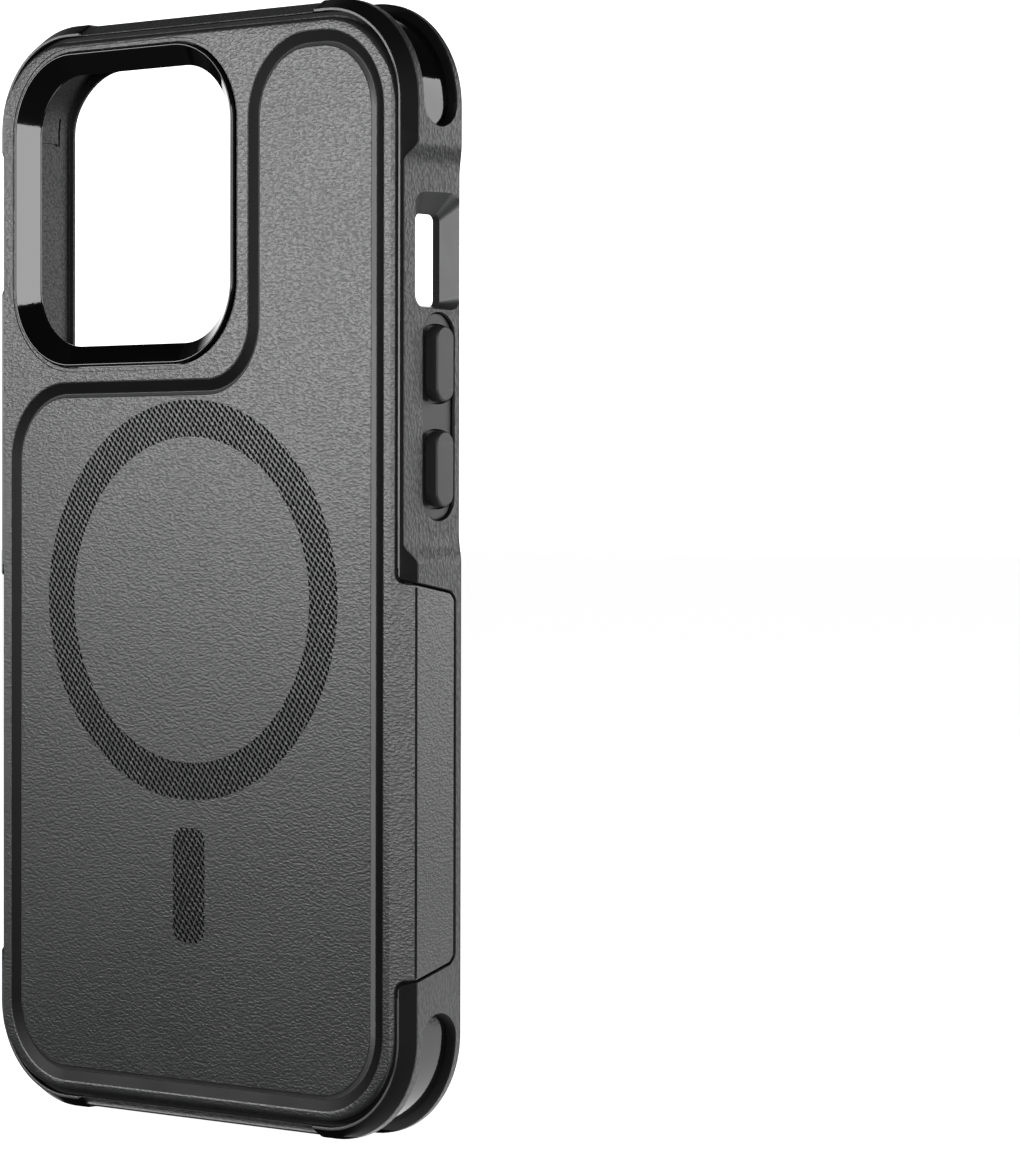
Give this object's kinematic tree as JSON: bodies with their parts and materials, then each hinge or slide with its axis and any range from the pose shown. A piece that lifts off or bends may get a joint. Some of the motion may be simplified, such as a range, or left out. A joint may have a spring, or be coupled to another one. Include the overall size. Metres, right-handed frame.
{
  "type": "phone case",
  "caption": "Rugged two-shell phone case: soft bumper with raised lip and corner guards, hard ribbed back plate with side wings, glossy camera window bezel, sliding side keys and a magnet ring.",
  "frame": {"origin": "middle of the bottom edge, at the middle of the depth", "axes": "+Z towards the phone's top, +Y the way the screen faces, -Y the outer back, +X the side with the volume keys"},
  "size_m": [0.0808, 0.0134, 0.1556],
  "materials": {
    "soft_bumper": "moulded soft plastic with a fine leather-like grain",
    "hard_shell": "charcoal hard plastic with a fine leather-like grain",
    "gloss_black": "polished black plastic",
    "smooth_strip": "smooth matte soft plastic",
    "key_plastic": "smooth satin plastic",
    "mark_print": "printed black dashes",
    "magnet_plating": "nickel-plated magnets",
    "film": "thin adhesive film"
  },
  "bodies": {
    "case": {"bumper": "soft_bumper", "back_plate": "hard_shell", "camera_bezel": "gloss_black", "corner_guard_top_right": "gloss_black", "corner_guard_top_left": "gloss_black", "corner_guard_bottom_right": "gloss_black", "corner_guard_bottom_left": "gloss_black", "volume_key_strip": "smooth_strip", "power_key_strip": "smooth_strip", "ring_mark": "mark_print", "bar_mark": "mark_print", "magnet_segments": "magnet_plating", "magnet_film": "film", "alignment_magnet": "magnet_plating", "alignment_film": "film"},
    "volume_up": {"volume_up_key": "key_plastic"},
    "volume_down": {"volume_down_key": "key_plastic"},
    "power": {"power_key": "key_plastic"}
  },
  "joints": [
    {"name": "volume_up_press", "type": "slide", "parent": "case", "child": "volume_up", "axis": [-1, 0, 0], "range_m": [0, 0.0005], "stiffness_N_per_m": 600},
    {"name": "volume_down_press", "type": "slide", "parent": "case", "child": "volume_down", "axis": [-1, 0, 0], "range_m": [0, 0.0005], "stiffness_N_per_m": 600},
    {"name": "power_press", "type": "slide", "parent": "case", "child": "power", "axis": [1, 0, 0], "range_m": [0, 0.0005], "stiffness_N_per_m": 600}
  ]
}
